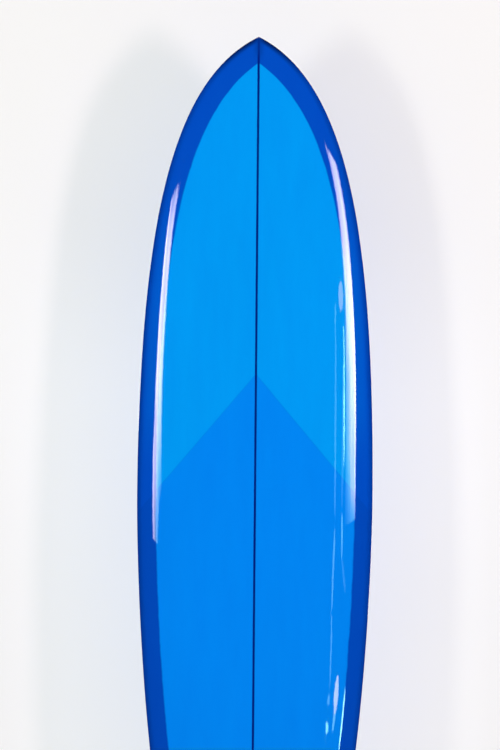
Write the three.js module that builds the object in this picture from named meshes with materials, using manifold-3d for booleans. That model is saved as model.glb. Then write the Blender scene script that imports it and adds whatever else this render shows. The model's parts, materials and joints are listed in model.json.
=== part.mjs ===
// Surfboard with a single stringer, a two-sided laminate and a set of three fins.
// Millimetres. +Z runs toward the nose, -Y is the deck side, +Y is the bottom side.
// The origin is on the bottom, on the centre line, at half length.
import * as THREE from 'three';
import { mergeVertices } from 'three/addons/utils/BufferGeometryUtils.js';
import Module from 'manifold-3d';

const wasm = await Module();
wasm.setup();

// ---- driving dimensions -------------------------------------------------------------------
const LENGTH = 2235;
const WIDTH = 546;
const THICKNESS = 70;
const NOSE_LIFT = 120;
const TAIL_LIFT = 60;
const WIDE_POINT_AHEAD = 60;        // widest point, measured from half length toward the nose
const TIP_THICKNESS = 14;
const TIP_ROUNDING = 8;
const GAP = 0.3;                    // clearance between neighbouring pieces
const PLY = 0.8;                    // one layer of laminate
const STRINGER_WIDTH = 5;
const RAIL_LAP = 45;                // how far a skin laps round the rail onto the other face
const NOSE_LAP = 63;                // the same at the very nose
const NOSE_LAP_POWER = 6;           // how late the lap widens toward the nose
const PATCH_APEX = 764;             // tip of the deck patch, measured back from the nose
const PATCH_HALF_ANGLE = THREE.MathUtils.degToRad(40.2);
const PATCH_END_FROM_TAIL = 90;

// ---- outline, rocker and thickness --------------------------------------------------------
const HALF = LENGTH / 2;
const HALF_WIDTH = WIDTH / 2;
const NOSE_ANGLE = THREE.MathUtils.degToRad(64.7);
const NOSE_HANDLE = 229;
const NOSE_SIDE_HANDLE = 608;
const TAIL_SIDE_HANDLE = 100;
const TAIL_HANDLE = 255;
const FLAT_SPOT = 42;               // the bottom is level this far either side of half length
const NOSE_ROCKER_POWER = 2.5;
const TAIL_ROCKER_POWER = 2.2;
const NOSE_FOIL_POWERS = [2, 0.9];  // thickness toward the nose goes by (1 - run ** first) ** second
const TAIL_FOIL_POWERS = [2.2, 0.75];
const APEX_SHARE = 0.42;            // height of the rail apex at half length, as a share of the thickness
const NOSE_APEX_RISE = 0.06;
const TAIL_APEX_DROP = 0.08;
const FLAT_SHARE = 0.66;            // flat part of the bottom at half length, as a share of the half width
const NOSE_FLAT_LOSS = 0.1;
const TAIL_FLAT_GAIN = 0.18;

function bezier(points) {
  return new THREE.CubicBezierCurve(...points.map(([u, v]) => new THREE.Vector2(u, v)));
}

const noseOutline = bezier([
  [WIDE_POINT_AHEAD, HALF_WIDTH],
  [WIDE_POINT_AHEAD + NOSE_SIDE_HANDLE, HALF_WIDTH],
  [HALF - NOSE_HANDLE * Math.cos(NOSE_ANGLE), NOSE_HANDLE * Math.sin(NOSE_ANGLE)],
  [HALF, 0],
]);
const tailOutline = bezier([
  [WIDE_POINT_AHEAD, HALF_WIDTH],
  [WIDE_POINT_AHEAD - TAIL_SIDE_HANDLE, HALF_WIDTH],
  [-HALF, TAIL_HANDLE],
  [-HALF, 0],
]);

// Value of the curve's second coordinate where its first coordinate equals u.
function curveValue(curve, u) {
  const rising = curve.v3.x > curve.v0.x;
  let low = 0;
  let high = 1;
  for (let i = 0; i < 50; i += 1) {
    const middle = (low + high) / 2;
    const before = curve.getPoint(middle).x < u;
    if (before === rising) low = middle;
    else high = middle;
  }
  return curve.getPoint((low + high) / 2).y;
}

function halfWidth(z) {
  return curveValue(z > WIDE_POINT_AHEAD ? noseOutline : tailOutline, z);
}

function rocker(z) {
  const run = Math.max(0, Math.abs(z) - FLAT_SPOT) / (HALF - FLAT_SPOT);
  return z > 0 ? NOSE_LIFT * run ** NOSE_ROCKER_POWER : TAIL_LIFT * run ** TAIL_ROCKER_POWER;
}

function fullThickness(z) {
  const run = Math.min(1, Math.abs(z) / HALF);
  const [along, rest] = z > 0 ? NOSE_FOIL_POWERS : TAIL_FOIL_POWERS;
  const fullness = (1 - run ** along) ** rest;
  return TIP_THICKNESS + (THICKNESS - TIP_THICKNESS) * fullness;
}

// Shrinks the thickness to nothing over the last few millimetres, for a rounded tip.
function tipCap(z) {
  const left = Math.min(TIP_ROUNDING, Math.max(0, HALF - Math.abs(z)));
  return Math.sqrt(1 - (1 - left / TIP_ROUNDING) ** 2);
}

// Rail apex height above the bottom, as a share of the thickness.
function apexShare(z) {
  return APEX_SHARE + (z > 0 ? NOSE_APEX_RISE : TAIL_APEX_DROP) * (z / HALF);
}

// Share of the half width over which the bottom is flat.
function flatShare(z) {
  return FLAT_SHARE - (z > 0 ? NOSE_FLAT_LOSS : TAIL_FLAT_GAIN) * (z / HALF);
}

function apexY(z) {
  return -rocker(z) - apexShare(z) * fullThickness(z);
}

// ---- cross-section ------------------------------------------------------------------------
const DECK_POWER = 2.6;
const DECK_COLUMNS = 8;
const RAIL_COLUMNS = 4;
const FLAT_COLUMNS = 1;
const COLUMNS = FLAT_COLUMNS + RAIL_COLUMNS + DECK_COLUMNS;

// Point of the right half section. Column 0 is the bottom centre, COLUMNS the deck centre.
function sectionPoint(z, column) {
  const w = halfWidth(z);
  const t = fullThickness(z) * tipCap(z);
  const under = apexShare(z) * t;
  const over = t - under;
  const flat = flatShare(z) * w;
  if (column <= FLAT_COLUMNS) {
    return new THREE.Vector3(flat * column / FLAT_COLUMNS, apexY(z) + under, z);
  }
  if (column <= FLAT_COLUMNS + RAIL_COLUMNS) {
    const turn = (column - FLAT_COLUMNS) / RAIL_COLUMNS * Math.PI / 2;
    return new THREE.Vector3(flat + (w - flat) * Math.sin(turn), apexY(z) + under * Math.cos(turn), z);
  }
  const turn = (COLUMNS - column) / DECK_COLUMNS * Math.PI / 2;
  const x = w * Math.max(0, Math.sin(turn)) ** (2 / DECK_POWER);
  return new THREE.Vector3(x, apexY(z) - over * Math.cos(turn), z);
}

const NUDGE_Z = 0.05;
const NUDGE_COLUMN = 0.02;

// Point of the right half section moved in by depth, square to the surface.
function layerPoint(z, column, depth) {
  const point = sectionPoint(z, column);
  if (depth === 0) return point;
  const along = sectionPoint(z + NUDGE_Z, column).sub(sectionPoint(z - NUDGE_Z, column));
  const low = sectionPoint(z, Math.max(0, column - NUDGE_COLUMN));
  const high = sectionPoint(z, Math.min(COLUMNS, column + NUDGE_COLUMN));
  const across = high.sub(low);
  if (column === COLUMNS) {
    across.set(-1, 0, 0);
    along.x = 0;
  }
  if (column < FLAT_COLUMNS) across.set(1, 0, 0);
  const inward = across.cross(along).normalize();
  if (column > 0 && column < COLUMNS && inward.x > 0) inward.negate();
  if (column <= FLAT_COLUMNS && inward.y > 0) inward.negate();
  if (column === COLUMNS && inward.y < 0) inward.negate();
  return point.addScaledVector(inward, depth);
}

const NOSE_STATIONS = [1.5, 4.5, 10, 20, 38, 65, 105, 160, 230, 315, 415, 530, 660, 805, 960];
const TAIL_STATIONS = [0.6, 2.5, 6, 13, 26, 50, 90, 150, 230, 325, 440, 580, 745, 930];
const FLAT_STATIONS = [-22, 40];

const stations = [
  ...TAIL_STATIONS.map((distance) => distance - HALF),
  ...FLAT_STATIONS,
  ...NOSE_STATIONS.map((distance) => HALF - distance).reverse(),
];

// ---- solids -------------------------------------------------------------------------------
function signedVolume(positions, triangles) {
  let sum = 0;
  const [a, b, c] = [new THREE.Vector3(), new THREE.Vector3(), new THREE.Vector3()];
  for (const [i, j, k] of triangles) {
    a.fromArray(positions, 3 * i);
    b.fromArray(positions, 3 * j);
    c.fromArray(positions, 3 * k);
    sum += a.dot(b.cross(c)) / 6;
  }
  return sum;
}

// Turns any closed geometry into a solid for cutting and joining.
function toSolid(source) {
  const geometry = source.clone();
  geometry.deleteAttribute('normal');
  geometry.deleteAttribute('uv');
  const merged = mergeVertices(geometry, 1e-4);
  const positions = merged.attributes.position.array;
  const index = merged.index.array;
  let triangles = [];
  for (let i = 0; i < index.length; i += 3) {
    const [a, b, c] = [index[i], index[i + 1], index[i + 2]];
    if (a !== b && b !== c && c !== a) triangles.push([a, b, c]);
  }
  if (signedVolume(positions, triangles) < 0) triangles = triangles.map(([a, b, c]) => [a, c, b]);
  const mesh = new wasm.Mesh({
    numProp: 3,
    vertProperties: Float32Array.from(positions),
    triVerts: Uint32Array.from(triangles.flat()),
  });
  return new wasm.Manifold(mesh);
}

// Closed loft through rings of points; a ring given as one repeated point closes to a tip.
function loft(rings) {
  const count = rings[0].length;
  const positions = rings.flat().flatMap((point) => point.toArray());
  const index = [];
  for (let ring = 0; ring + 1 < rings.length; ring += 1) {
    for (let i = 0; i < count; i += 1) {
      const next = (i + 1) % count;
      const [a, b] = [ring * count + i, ring * count + next];
      const [c, d] = [a + count, b + count];
      index.push(a, b, d, a, d, c);
    }
  }
  const last = (rings.length - 1) * count;
  for (let i = 1; i + 1 < count; i += 1) {
    index.push(0, i + 1, i);
    index.push(last, last + i, last + i + 1);
  }
  const geometry = new THREE.BufferGeometry();
  geometry.setAttribute('position', new THREE.Float32BufferAttribute(positions, 3));
  geometry.setIndex(index);
  return toSolid(geometry);
}

function repeated(point, count) {
  return Array.from({ length: count }, () => point.clone());
}

function boxSolid([x0, x1], [y0, y1], [z0, z1]) {
  const box = new THREE.BoxGeometry(x1 - x0, y1 - y0, z1 - z0);
  box.translate((x0 + x1) / 2, (y0 + y1) / 2, (z0 + z1) / 2);
  return toSolid(box);
}

// Cylinder from one point to another.
function rodSolid(from, to, radius, segments = 20) {
  const axis = to.clone().sub(from);
  const rod = new THREE.CylinderGeometry(radius, radius, axis.length(), segments);
  const turn = new THREE.Quaternion().setFromUnitVectors(new THREE.Vector3(0, 1, 0), axis.normalize());
  rod.applyQuaternion(turn);
  const middle = from.clone().add(to).multiplyScalar(0.5);
  rod.translate(middle.x, middle.y, middle.z);
  return toSolid(rod);
}

// Moves a solid made in a local frame to its place on the board.
function place(solid, frame) {
  return solid.transform(frame.elements);
}

// Board-shaped solid whose surface lies depth below the outer surface.
function layerSolid(depth) {
  const sides = 2 * COLUMNS - 1;
  const rings = stations.map((z) => {
    const right = [];
    const left = [];
    for (let column = 1; column < COLUMNS; column += 1) {
      const point = layerPoint(z, column, depth);
      right.push(point);
      left.unshift(new THREE.Vector3(-point.x, point.y, point.z));
    }
    const deck = layerPoint(z, COLUMNS, depth);
    deck.x = 0;
    return [...right, deck, ...left];
  });
  const tail = new THREE.Vector3(0, apexY(-HALF), -HALF + depth);
  const nose = new THREE.Vector3(0, apexY(HALF), HALF - depth / Math.sin(NOSE_ANGLE));
  return loft([repeated(tail, sides), ...rings, repeated(nose, sides)]);
}

const outer = layerSolid(0);
const firstPly = layerSolid(PLY);
const betweenPlies = layerSolid(PLY + GAP);
const secondPly = layerSolid(2 * PLY + GAP);
const core = layerSolid(2 * PLY + 2 * GAP);

// ---- lap lines ----------------------------------------------------------------------------
// Half width inside the lap band; negative where the two laps have met.
function lapHalfWidth(z, extra) {
  const step = 1;
  const slope = (halfWidth(z + step) - halfWidth(z - step)) / (2 * step);
  const towardNose = Math.max(0, z / HALF) ** NOSE_LAP_POWER;
  const lap = RAIL_LAP + (NOSE_LAP - RAIL_LAP) * towardNose + extra;
  return halfWidth(z) - lap * Math.sqrt(1 + slope ** 2);
}

function lapEnd(sign, extra) {
  let inside = 0;
  let outside = HALF - 2;
  for (let i = 0; i < 40; i += 1) {
    const middle = (inside + outside) / 2;
    if (lapHalfWidth(sign * middle, extra) > 0) inside = middle;
    else outside = middle;
  }
  return sign * (inside + outside) / 2;
}

const WINDOW_REACH = 400;

// Everything inside the lap line on one face: side -1 is the deck, +1 the bottom.
function lapWindow(side, extra) {
  const tail = lapEnd(-1, extra);
  const nose = lapEnd(1, extra);
  const margin = 1.5;
  const inner = stations.filter((z) => z > tail + margin && z < nose - margin);
  const ring = (z, half) => [
    new THREE.Vector3(-half, apexY(z), z),
    new THREE.Vector3(half, apexY(z), z),
    new THREE.Vector3(half, apexY(z) + side * WINDOW_REACH, z),
    new THREE.Vector3(-half, apexY(z) + side * WINDOW_REACH, z),
  ];
  return loft([ring(tail, 0), ...inner.map((z) => ring(z, lapHalfWidth(z, extra))), ring(nose, 0)]);
}

const deckWindow = lapWindow(-1, 0);
const bottomWindow = lapWindow(1, 0);
const wideDeckWindow = lapWindow(-1, -GAP);
const narrowBottomWindow = lapWindow(1, GAP);

// ---- skins and deck patch -----------------------------------------------------------------
const patchTip = HALF - PATCH_APEX;
const patchTail = -HALF + PATCH_END_FROM_TAIL;

// Prism of the deck patch outline, grown by extra all round, over the whole board depth.
function patchPrism(extra) {
  const slope = 1 / Math.tan(PATCH_HALF_ANGLE);
  const tip = patchTip + extra / Math.sin(PATCH_HALF_ANGLE);
  const outline = new THREE.Shape();
  outline.moveTo(0, tip);
  outline.lineTo(-WIDTH, tip - WIDTH * slope);
  outline.lineTo(-WIDTH, patchTail - extra);
  outline.lineTo(WIDTH, patchTail - extra);
  outline.lineTo(WIDTH, tip - WIDTH * slope);
  outline.closePath();
  const prism = new THREE.ExtrudeGeometry(outline, { depth: 2 * WINDOW_REACH, bevelEnabled: false });
  prism.translate(0, 0, -WINDOW_REACH);
  prism.rotateX(Math.PI / 2);
  return toSolid(prism);
}

// The inner ply of each face starts inside the outer one, so that the two join into one piece.
const insideFirstPly = layerSolid(PLY / 2);
const insideSecondPly = layerSolid(1.5 * PLY + GAP);
const innerBand = betweenPlies.subtract(secondPly);
const patchSolid = innerBand.intersect(lapWindow(-1, GAP)).intersect(patchPrism(0));
const deckSkinSolid = outer.subtract(firstPly).subtract(bottomWindow)
  .add(insideFirstPly.subtract(secondPly).intersect(deckWindow).subtract(patchPrism(GAP)));
const bottomSkinSolid = innerBand.subtract(wideDeckWindow)
  .add(outer.subtract(insideSecondPly).intersect(narrowBottomWindow));

// ---- core ---------------------------------------------------------------------------------
const everywhere = [-2 * LENGTH, 2 * LENGTH];
const stringerHalf = STRINGER_WIDTH / 2;
const stringerSolid = core.intersect(boxSolid([-stringerHalf, stringerHalf], everywhere, everywhere));
const foamRightSolid = core.intersect(boxSolid([stringerHalf + GAP, WIDTH], everywhere, everywhere));
const foamLeftSolid = core.intersect(boxSolid([-WIDTH, -stringerHalf - GAP], everywhere, everywhere));

// ---- frames on the hull -------------------------------------------------------------------
// Local frame on the bottom: x across, y out of the bottom, z toward the nose.
function bottomFrame(x, z, toe = 0) {
  const step = 1;
  const slope = (rocker(z - step) - rocker(z + step)) / (2 * step);
  const forward = new THREE.Vector3(0, slope, 1).normalize();
  const out = new THREE.Vector3(0, 1, -slope).normalize();
  forward.applyAxisAngle(out, toe);
  const across = out.clone().cross(forward);
  const frame = new THREE.Matrix4().makeBasis(across, out, forward);
  return frame.setPosition(x, -rocker(z), z);
}

// ---- centre fin box -----------------------------------------------------------------------
const BOX_LENGTH = 267;
const BOX_WIDTH = 26;
const BOX_DEPTH = 23;
const BOX_FROM_TAIL = 114;
const SLOT_HALF = 5.2;
const SLOT_DEPTH = 18.5;
const SLOT_END_WALL = 6;
const GROOVE_HALF = 7.4;
const GROOVE_TOP = -8.2;
const GROOVE_BOTTOM = -14.2;
const GROOVE_ENTRY = 14;
const PROUD = 12;                   // how far a cutter reaches out of the surface

const boxFrame = bottomFrame(0, -HALF + BOX_FROM_TAIL + BOX_LENGTH / 2);
const slotHalfLength = BOX_LENGTH / 2 - SLOT_END_WALL;

// Long outline with rounded ends, extruded from depth up to height in a local frame.
function roundedBar(length, width, bottom, top) {
  const radius = width / 2;
  const reach = length / 2 - radius;
  const outline = new THREE.Shape();
  outline.absarc(reach, 0, radius, -Math.PI / 2, Math.PI / 2, false);
  outline.absarc(-reach, 0, radius, Math.PI / 2, 3 * Math.PI / 2, false);
  const bar = new THREE.ExtrudeGeometry(outline, {
    depth: top - bottom,
    bevelEnabled: false,
    curveSegments: 8,
  });
  bar.rotateZ(Math.PI / 2);
  bar.rotateX(-Math.PI / 2);
  bar.translate(0, bottom, 0);
  return toSolid(bar);
}

const slotLong = [-slotHalfLength, slotHalfLength];
const centreBoxSolid = place(
  roundedBar(BOX_LENGTH, BOX_WIDTH, -BOX_DEPTH, PROUD)
    .subtract(boxSolid([-SLOT_HALF, SLOT_HALF], [-SLOT_DEPTH, 2 * PROUD], slotLong))
    .subtract(boxSolid([-GROOVE_HALF, GROOVE_HALF], [GROOVE_BOTTOM, GROOVE_TOP], slotLong))
    .subtract(boxSolid(
      [-GROOVE_HALF, GROOVE_HALF],
      [GROOVE_BOTTOM, 2 * PROUD],
      [-GROOVE_ENTRY / 2, GROOVE_ENTRY / 2],
    )),
  boxFrame,
).intersect(outer);
const centreBoxPocket = place(
  roundedBar(BOX_LENGTH + 2 * GAP, BOX_WIDTH + 2 * GAP, -BOX_DEPTH - GAP, PROUD),
  boxFrame,
);

// ---- fins ---------------------------------------------------------------------------------
const FOIL_SHARES = [0.06, 0.2, 0.42, 0.7];
const TIP_CHORD_SHARE = 0.35;       // thickness kept where the chord has shrunk to nothing
const TIP_THINNING = 0.35;          // thickness lost from foot to tip besides that

// Thickness of the foil along its chord, as a share of the largest; round in front, thin behind.
function foil(share) {
  return (1.5 * Math.sqrt(share) + 0.42 * share) * (1 - share);
}

// Blade of a fin in a local frame: x across, y out of the bottom, z toward the nose.
function bladeSolid({ leading, trailing, heights, thickness, edge, inside, lean }) {
  const front = bezier(leading);
  const back = bezier(trailing);
  const tipHeight = leading[3][0];
  const base = curveValue(front, heights[0]) - curveValue(back, heights[0]);
  const rings = heights.map((height) => {
    const noseEdge = curveValue(front, height);
    const chord = noseEdge - curveValue(back, height);
    const kept = TIP_CHORD_SHARE + (1 - TIP_CHORD_SHARE) * chord / base;
    const full = thickness * kept * (1 - TIP_THINNING * height / tipHeight);
    const shift = height * Math.tan(lean);
    const at = (share, side) => new THREE.Vector3(side + shift, height, noseEdge - share * chord);
    const half = (share) => full * foil(share) / 2 + edge * share / 2;
    const outside = FOIL_SHARES.map((share) => at(share, half(share)));
    const within = FOIL_SHARES.map((share) => at(share, -half(share) * inside)).reverse();
    return [at(0, 0), ...outside, at(1, edge / 2), at(1, -edge / 2 * inside), ...within];
  });
  const count = rings[0].length;
  const tip = new THREE.Vector3(tipHeight * Math.tan(lean), tipHeight, leading[3][1]);
  return loft([...rings, repeated(tip, count)]);
}

const FIN_DEPTH = 203;
const FIN_LIFT = 0.8;               // clearance between the foot of a fin and the hull
const JOIN = 0.6;                   // how far joined blocks run into one another
const FIN_FOOT_FRONT = 64;
const FIN_FOOT_REAR = -74;
const FIN_TAB_HALF = SLOT_HALF - GAP;
const FIN_TAB_BOTTOM = -17.4;
const FIN_TAB_FRONT = 58;
const FIN_TAB_REAR = -70;
const TONGUE_FRONT = 84;
const TONGUE_TOP = -1.6;
const TONGUE_BOTTOM = -5;
const FIN_SCREW_AT = 73;
const FIN_PIN_AT = -56;
const GROOVE_MIDDLE = (GROOVE_TOP + GROOVE_BOTTOM) / 2;
const SCREW_RADIUS = 2;
const PIN_RADIUS = 2.5;

const centreBlade = bladeSolid({
  leading: [[FIN_LIFT, FIN_FOOT_FRONT], [96, 58], [FIN_DEPTH, -18], [FIN_DEPTH, -96]],
  trailing: [[FIN_LIFT, FIN_FOOT_REAR], [58, -38], [176, -112], [FIN_DEPTH, -96]],
  heights: [FIN_LIFT, 14, 34, 58, 84, 110, 136, 158, 176, 189, 197, 201],
  thickness: 9.6,
  edge: 1.2,
  inside: 1,
  lean: 0,
});
const centreTab = boxSolid(
  [-FIN_TAB_HALF, FIN_TAB_HALF],
  [FIN_TAB_BOTTOM, FIN_LIFT + JOIN],
  [FIN_TAB_REAR, FIN_TAB_FRONT],
);
const centreTongue = boxSolid(
  [-FIN_TAB_HALF, FIN_TAB_HALF],
  [TONGUE_BOTTOM, TONGUE_TOP],
  [FIN_TAB_FRONT - JOIN, TONGUE_FRONT],
);

function across(half, height, along) {
  return [new THREE.Vector3(-half, height, along), new THREE.Vector3(half, height, along)];
}

function upright(bottom, top, along, x = 0) {
  return [new THREE.Vector3(x, bottom, along), new THREE.Vector3(x, top, along)];
}

const centreFinSolid = place(
  centreBlade.add(centreTab).add(centreTongue)
    .subtract(rodSolid(...across(PROUD, GROOVE_MIDDLE, FIN_PIN_AT), PIN_RADIUS + GAP))
    .subtract(rodSolid(...upright(-2 * PROUD, PROUD, FIN_SCREW_AT), SCREW_RADIUS + GAP)),
  boxFrame,
);
const centrePinSolid = place(
  rodSolid(...across(GROOVE_HALF - GAP, GROOVE_MIDDLE, FIN_PIN_AT), PIN_RADIUS),
  boxFrame,
);
const PLATE_LENGTH = 14;
const PLATE_THICKNESS = 3.4;
const plateLong = [FIN_SCREW_AT - PLATE_LENGTH / 2, FIN_SCREW_AT + PLATE_LENGTH / 2];
const plateBottom = GROOVE_BOTTOM + GAP;
const centrePlateSolid = place(
  boxSolid([-GROOVE_HALF + GAP, GROOVE_HALF - GAP], [plateBottom, plateBottom + PLATE_THICKNESS], plateLong)
    .subtract(rodSolid(...upright(-2 * PROUD, PROUD, FIN_SCREW_AT), SCREW_RADIUS + GAP)),
  boxFrame,
);
const HEAD_RADIUS = 3.8;
const HEAD_HEIGHT = 2.2;
const CROSS_DEPTH = 1.1;
const CROSS_HALF_WIDTH = 0.5;
const CROSS_REACH = 3;
const SHANK_BELOW_PLATE = 1.5;
const headBottom = TONGUE_TOP + GAP;
const headTop = headBottom + HEAD_HEIGHT;

// One bar of the cross recess in the head of the screw.
function crossBar(halfAcross, halfAlong) {
  const along = [FIN_SCREW_AT - halfAlong, FIN_SCREW_AT + halfAlong];
  return boxSolid([-halfAcross, halfAcross], [headTop - CROSS_DEPTH, PROUD], along);
}

const centreScrewSolid = place(
  rodSolid(...upright(headBottom, headTop, FIN_SCREW_AT), HEAD_RADIUS)
    .add(rodSolid(...upright(plateBottom - SHANK_BELOW_PLATE, headBottom + JOIN, FIN_SCREW_AT), SCREW_RADIUS))
    .subtract(crossBar(CROSS_REACH, CROSS_HALF_WIDTH))
    .subtract(crossBar(CROSS_HALF_WIDTH, CROSS_REACH)),
  boxFrame,
);

// ---- side fins, their boxes and grub screws -----------------------------------------------
const SIDE_FROM_TAIL = 372;
const SIDE_IN_FROM_RAIL = 46;
const SIDE_TOE = THREE.MathUtils.degToRad(3);
const SIDE_CANT = THREE.MathUtils.degToRad(6);
const SIDE_DEPTH = 88;
const SIDE_BOX_DEPTH = 16;
const SIDE_BOX_REACH = 32;
const SIDE_DISC_RADIUS = 13.5;
const SIDE_BAR_HALF = 7;
const TAB_HALF = 3;
const TAB_LENGTH = 20;
const TAB_DEPTH = 12.5;
const POCKET_BREAK = 0.6;           // the pocket is this much wider on the screw side
const GRUB_RADIUS = 2.5;
const GRUB_LENGTH = 7;
const GRUB_TILT = THREE.MathUtils.degToRad(20);
const GRUB_TIP_HEIGHT = -9;
const SOCKET_RADIUS = 1.3;
const SOCKET_DEPTH = 2.5;

const sideZ = -HALF + SIDE_FROM_TAIL;
const sideX = halfWidth(sideZ) - SIDE_IN_FROM_RAIL;

function sideFrame(side) {
  return bottomFrame(side * sideX, sideZ, -side * SIDE_TOE);
}

// Two discs joined by a bar, seen from the bottom.
function sideBoxBlock(grow, depth) {
  const disc = (along) => rodSolid(...upright(-depth, PROUD, along), SIDE_DISC_RADIUS + grow, 28);
  const half = SIDE_BAR_HALF + grow;
  return disc(SIDE_BOX_REACH).add(disc(-SIDE_BOX_REACH))
    .add(boxSolid([-half, half], [-depth, PROUD], [-SIDE_BOX_REACH, SIDE_BOX_REACH]));
}

// Axis of a grub screw: its tip stands just clear of the fin tab on the inner side.
function grubAxis(side, along, from, to) {
  const tipX = TAB_HALF + GAP + GRUB_RADIUS / Math.cos(GRUB_TILT);
  const at = (distance) => new THREE.Vector3(
    -side * (tipX + distance * Math.sin(GRUB_TILT)),
    GRUB_TIP_HEIGHT + distance * Math.cos(GRUB_TILT),
    along,
  );
  return [at(from), at(to)];
}

function sideBoxSolid(side) {
  let block = sideBoxBlock(0, SIDE_BOX_DEPTH);
  const inner = -side * (TAB_HALF + GAP + POCKET_BREAK);
  const outerX = side * (TAB_HALF + GAP);
  for (const along of [-SIDE_BOX_REACH, SIDE_BOX_REACH]) {
    const reach = TAB_LENGTH / 2 + GAP;
    const wide = [Math.min(inner, outerX), Math.max(inner, outerX)];
    block = block
      .subtract(boxSolid(wide, [-TAB_DEPTH - GAP, 2 * PROUD], [along - reach, along + reach]))
      .subtract(rodSolid(...grubAxis(side, along, -GAP, 3 * PROUD), GRUB_RADIUS + GAP));
  }
  return place(block, sideFrame(side)).intersect(outer);
}

function sideFinSolid(side) {
  let fin = bladeSolid({
    leading: [[FIN_LIFT, 54], [42, 44], [SIDE_DEPTH, 2], [SIDE_DEPTH, -40]],
    trailing: [[FIN_LIFT, -50], [24, -34], [74, -50], [SIDE_DEPTH, -40]],
    heights: [FIN_LIFT, 10, 24, 40, 56, 69, 79, 85],
    thickness: 7,
    edge: 1,
    inside: 0.35,
    lean: SIDE_CANT,
  });
  if (side < 0) fin = fin.mirror([1, 0, 0]);
  for (const along of [-SIDE_BOX_REACH, SIDE_BOX_REACH]) {
    const long = [along - TAB_LENGTH / 2, along + TAB_LENGTH / 2];
    fin = fin.add(boxSolid([-TAB_HALF, TAB_HALF], [-TAB_DEPTH, FIN_LIFT + JOIN], long));
  }
  return place(fin, sideFrame(side));
}

function grubSolid(side, along) {
  const [tip, top] = grubAxis(side, along, 0, GRUB_LENGTH);
  const [floor, open] = grubAxis(side, along, GRUB_LENGTH - SOCKET_DEPTH, GRUB_LENGTH + SOCKET_DEPTH);
  const socket = rodSolid(floor, open, SOCKET_RADIUS, 6);
  return place(rodSolid(tip, top, GRUB_RADIUS).subtract(socket), sideFrame(side));
}

function sideBoxPocket(side) {
  return place(sideBoxBlock(GAP, SIDE_BOX_DEPTH + GAP), sideFrame(side));
}

// ---- leash cup and bar --------------------------------------------------------------------
const LEASH_FROM_TAIL = 84;
const LEASH_OFFSET = 24;
const CUP_RADIUS = 14;
const CUP_INNER_RADIUS = 10.5;
const CUP_DEPTH = 15;
const CUP_FLOOR = 2.5;
const LEASH_BAR_RADIUS = 1.8;
const LEASH_BAR_DEPTH = 5;
const LEASH_BAR_HALF = 12.6;

const leashZ = -HALF + LEASH_FROM_TAIL;

// Height of the deck surface above a point of the centre area, by search on the section.
function deckY(x, z) {
  let low = FLAT_COLUMNS + RAIL_COLUMNS;
  let high = COLUMNS;
  for (let i = 0; i < 40; i += 1) {
    const middle = (low + high) / 2;
    if (sectionPoint(z, middle).x > x) low = middle;
    else high = middle;
  }
  return sectionPoint(z, low).y;
}

function deckFrame(x, z) {
  const step = 2;
  const along = (deckY(x, z + step) - deckY(x, z - step)) / (2 * step);
  const over = (deckY(x + step, z) - deckY(x - step, z)) / (2 * step);
  const out = new THREE.Vector3(over, -1, along).normalize();
  const side = new THREE.Vector3(1, over, 0).normalize();
  const forward = side.clone().cross(out);
  const frame = new THREE.Matrix4().makeBasis(side, out, forward);
  return frame.setPosition(x, deckY(x, z), z);
}

const leashFrame = deckFrame(LEASH_OFFSET, leashZ);

function cupSolid() {
  const profile = [
    [0, -CUP_DEPTH], [CUP_RADIUS, -CUP_DEPTH], [CUP_RADIUS, PROUD],
    [CUP_INNER_RADIUS, PROUD], [CUP_INNER_RADIUS, CUP_FLOOR - CUP_DEPTH], [0, CUP_FLOOR - CUP_DEPTH],
  ].map(([radius, height]) => new THREE.Vector2(radius, height));
  const cup = toSolid(new THREE.LatheGeometry(profile, 32));
  const hole = rodSolid(...across(LEASH_BAR_HALF + GAP, -LEASH_BAR_DEPTH, 0), LEASH_BAR_RADIUS + GAP, 16);
  return place(cup.subtract(hole), leashFrame).intersect(outer);
}

const leashBarSolid = place(
  rodSolid(...across(LEASH_BAR_HALF, -LEASH_BAR_DEPTH, 0), LEASH_BAR_RADIUS, 16),
  leashFrame,
);
const leashPocket = place(
  rodSolid(...upright(-CUP_DEPTH - GAP, PROUD, 0), CUP_RADIUS + GAP, 32),
  leashFrame,
);

// ---- named nodes --------------------------------------------------------------------------
const FINISHES = {
  skin: { color: 0x0a86e8, roughness: 0.12, metalness: 0 },
  foam: { color: 0xf4f1e6, roughness: 0.9, metalness: 0 },
  wood: { color: 0xc9a36b, roughness: 0.7, metalness: 0 },
  cloth: { color: 0x0078d8, roughness: 0.35, metalness: 0 },
  box: { color: 0x2a2d31, roughness: 0.55, metalness: 0 },
  fin: { color: 0x0f4fa8, roughness: 0.2, metalness: 0 },
  steel: { color: 0xb9bdc2, roughness: 0.3, metalness: 1 },
  brass: { color: 0xc8a24a, roughness: 0.35, metalness: 1 },
};

const group = new THREE.Group();
group.name = 'surfboard';

function addNode(name, solid, finish) {
  const mesh = solid.getMesh();
  const geometry = new THREE.BufferGeometry();
  geometry.setAttribute('position', new THREE.BufferAttribute(Float32Array.from(mesh.vertProperties), 3));
  geometry.setIndex(new THREE.BufferAttribute(Uint32Array.from(mesh.triVerts), 1));
  const flat = geometry.toNonIndexed();
  flat.computeVertexNormals();
  const node = new THREE.Mesh(flat, new THREE.MeshStandardMaterial(FINISHES[finish]));
  node.name = name;
  group.add(node);
}

const bottomPockets = centreBoxPocket.add(sideBoxPocket(-1)).add(sideBoxPocket(1));

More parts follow.
